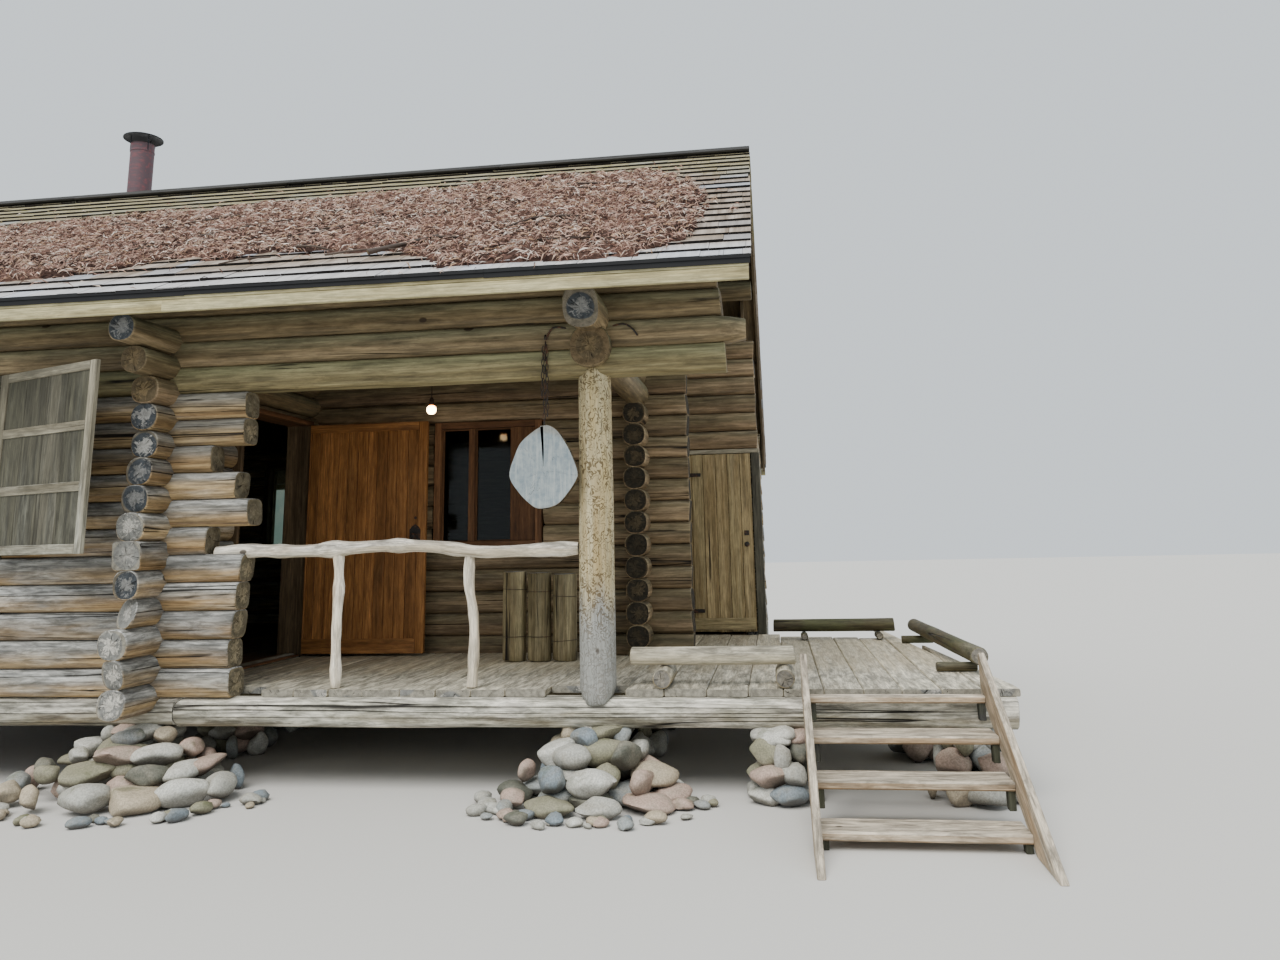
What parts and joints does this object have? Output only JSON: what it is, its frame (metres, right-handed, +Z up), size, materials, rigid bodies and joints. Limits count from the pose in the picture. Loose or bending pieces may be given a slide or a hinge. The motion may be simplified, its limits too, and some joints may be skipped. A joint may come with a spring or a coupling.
{
  "type": "log cabin",
  "caption": "Small log cabin with notched log walls, a recessed porch under a beam and post, an open plank deck with stairs, and a shake roof.",
  "frame": {"origin": "at ground level under the axis of the porch post", "axes": "+X to the right along the front, +Y towards the back, +Z up"},
  "size_m": [10.04, 7.6581, 5.8654],
  "materials": {
    "weathered_logs": "peeled conifer log, weathered grey and brown",
    "sheltered_logs": "peeled conifer log, browned under the roof",
    "sill_wood": "sill log, grey with scraps of bark",
    "field_stone": "rounded river stone",
    "peeled_post": "peeled log with beetle galleries",
    "deck_boards": "worn deck board",
    "gable_boards": "rough vertical board",
    "frame_wood": "planed frame",
    "door_boards": "oiled door board",
    "grey_boards": "bleached board",
    "window_glass": "old window glass",
    "roof_boards": "roof edge board",
    "split_shakes": "split wooden shake",
    "flue_metal": "red-brown painted flue",
    "sapling_wood": "debarked sapling",
    "stair_boards": "stair plank",
    "kerb_wood": "thin peeled log",
    "bound_wood": "split log",
    "slice_wood": "sawn slice, bleached",
    "lamp_glass": "lamp bulb with holder"
  },
  "bodies": {
    "cabin": {"bound_logs": "bound_wood", "deck": "deck_boards", "doorway_wall_front": "weathered_logs", "doorway_wall_head": "weathered_logs", "doorway_wall_rear": "weathered_logs", "entry_door_frame": "frame_wood", "fascia_boards": "roof_boards", "flue": "flue_metal", "front_roof_boards": "roof_boards", "front_shakes": "split_shakes", "front_wall": "weathered_logs", "front_window_frame": "frame_wood", "hanging_slice": "slice_wood", "kerb_logs": "kerb_wood", "left_gable": "gable_boards", "left_wall": "weathered_logs", "porch_back_wall": "sheltered_logs", "porch_beams": "weathered_logs", "porch_ceiling": "deck_boards", "porch_lamp": "lamp_glass", "porch_post": "peeled_post", "porch_rail": "sapling_wood", "porch_window_frame": "frame_wood", "purlins": "sheltered_logs", "rear_roof_boards": "roof_boards", "rear_shakes": "split_shakes", "rear_wall": "weathered_logs", "rear_window_frame": "frame_wood", "right_gable": "gable_boards", "right_wall": "sheltered_logs", "room_floor": "deck_boards", "sill_logs": "sill_wood", "stair_strings": "stair_boards", "stair_treads": "stair_boards", "stone_piers": "field_stone", "store_door_frame": "frame_wood", "store_front_wall": "sheltered_logs", "store_gable": "gable_boards", "store_right_wall": "weathered_logs", "tie_logs": "weathered_logs", "verge_boards": "roof_boards", "window_glass": "window_glass"},
    "entry_door": {"entry_door": "door_boards"},
    "store_door": {"store_door": "grey_boards"},
    "window_shutter": {"window_shutter": "grey_boards"}
  },
  "joints": [
    {"name": "entry_door_hinge", "type": "hinge", "parent": "cabin", "child": "entry_door", "pos_m": [-2.8725, 1.848, 0.63], "axis": [0, 0, -1], "range_deg": [0, 90]},
    {"name": "store_door_hinge", "type": "hinge", "parent": "cabin", "child": "store_door", "pos_m": [0.19, 3.4025, 0.632], "axis": [0, 0, -1], "range_deg": [0, 90]},
    {"name": "shutter_hinge", "type": "hinge", "parent": "cabin", "child": "window_shutter", "pos_m": [-4.16, -0.1615, 1.495], "axis": [0, 0, -1], "range_deg": [0, 159]}
  ]
}
